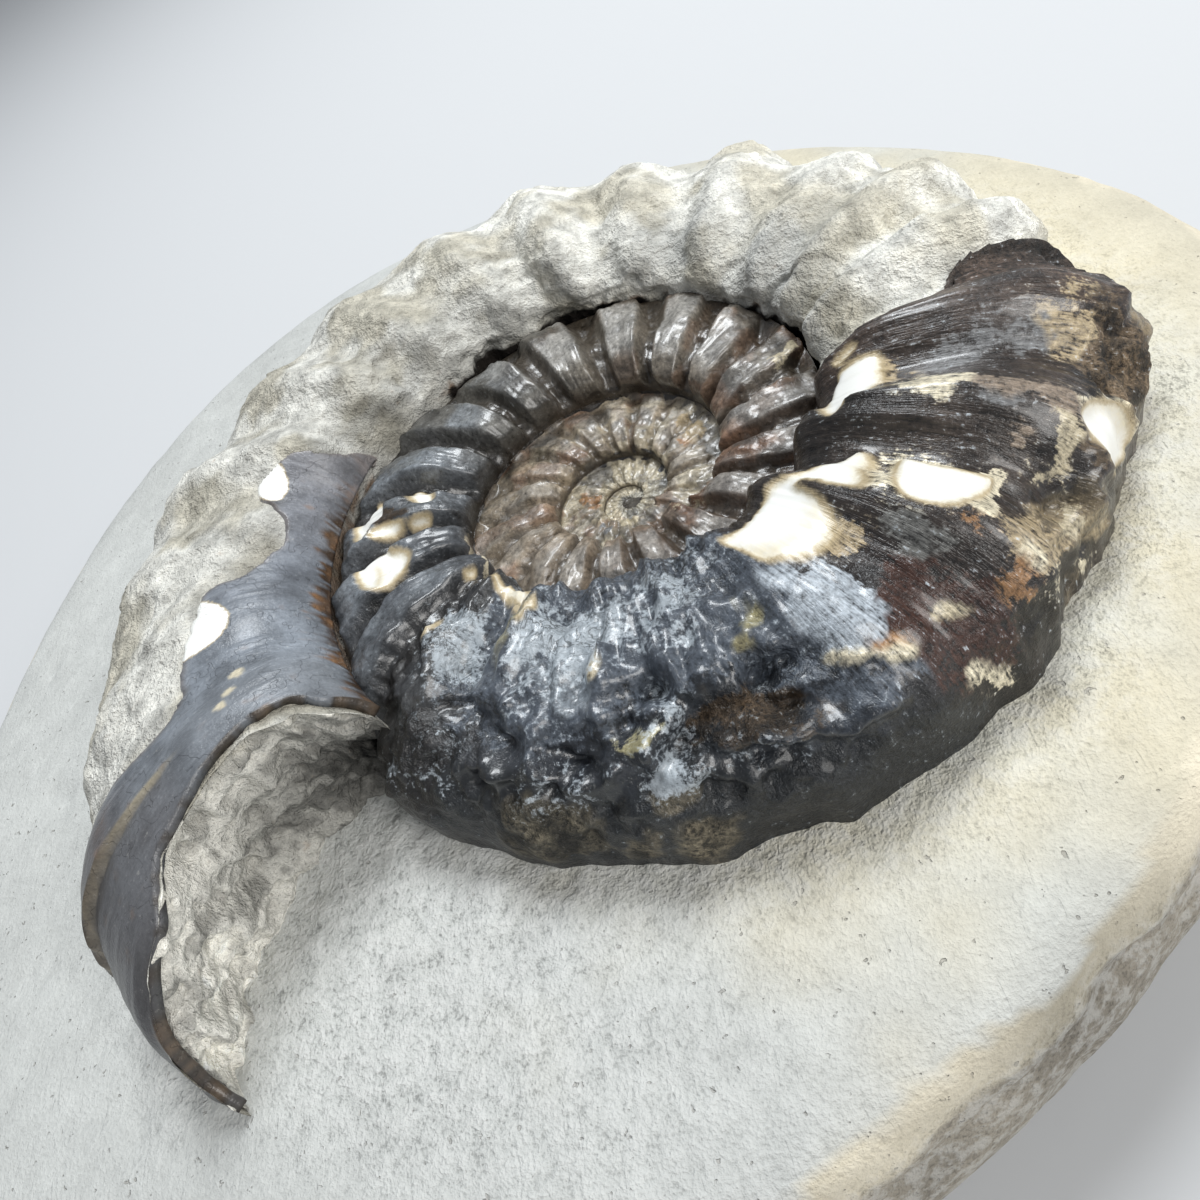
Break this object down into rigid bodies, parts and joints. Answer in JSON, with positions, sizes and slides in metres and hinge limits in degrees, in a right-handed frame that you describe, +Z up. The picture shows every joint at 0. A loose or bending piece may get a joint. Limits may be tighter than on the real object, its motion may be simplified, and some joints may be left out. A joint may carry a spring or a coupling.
{
  "type": "ammonite fossil in limestone matrix",
  "caption": "Coiled ribbed ammonite with dark calcite whorls, a pale stone body chamber and a strip of outer shell, prepared in relief on a smooth limestone nodule with a flat underside.",
  "frame": {"origin": "centre of the nodule's flat underside, under the middle of the bounding box", "axes": "+Z up through the thickness of the slab and along the coil's spiral axis; the ammonite's mouth opens towards -X and -Y"},
  "size_m": [0.0919, 0.0876, 0.0277],
  "materials": {
    "matrix_limestone": "fine smooth pale grey limestone, matt, with small dark flecks and a tan weathered edge",
    "dark_calcite": "dark brown to blue-black calcite, satin to glossy, with white calcite patches",
    "cast_limestone": "rough granular cream limestone, matt",
    "grey_shell": "satin blue-grey shell with fine growth lines and white flecks"
  },
  "bodies": {
    "root": {"limestone_matrix": "matrix_limestone", "calcite_coil": "dark_calcite", "body_chamber_cast": "cast_limestone", "mouth_shell": "grey_shell"}
  },
  "joints": []
}
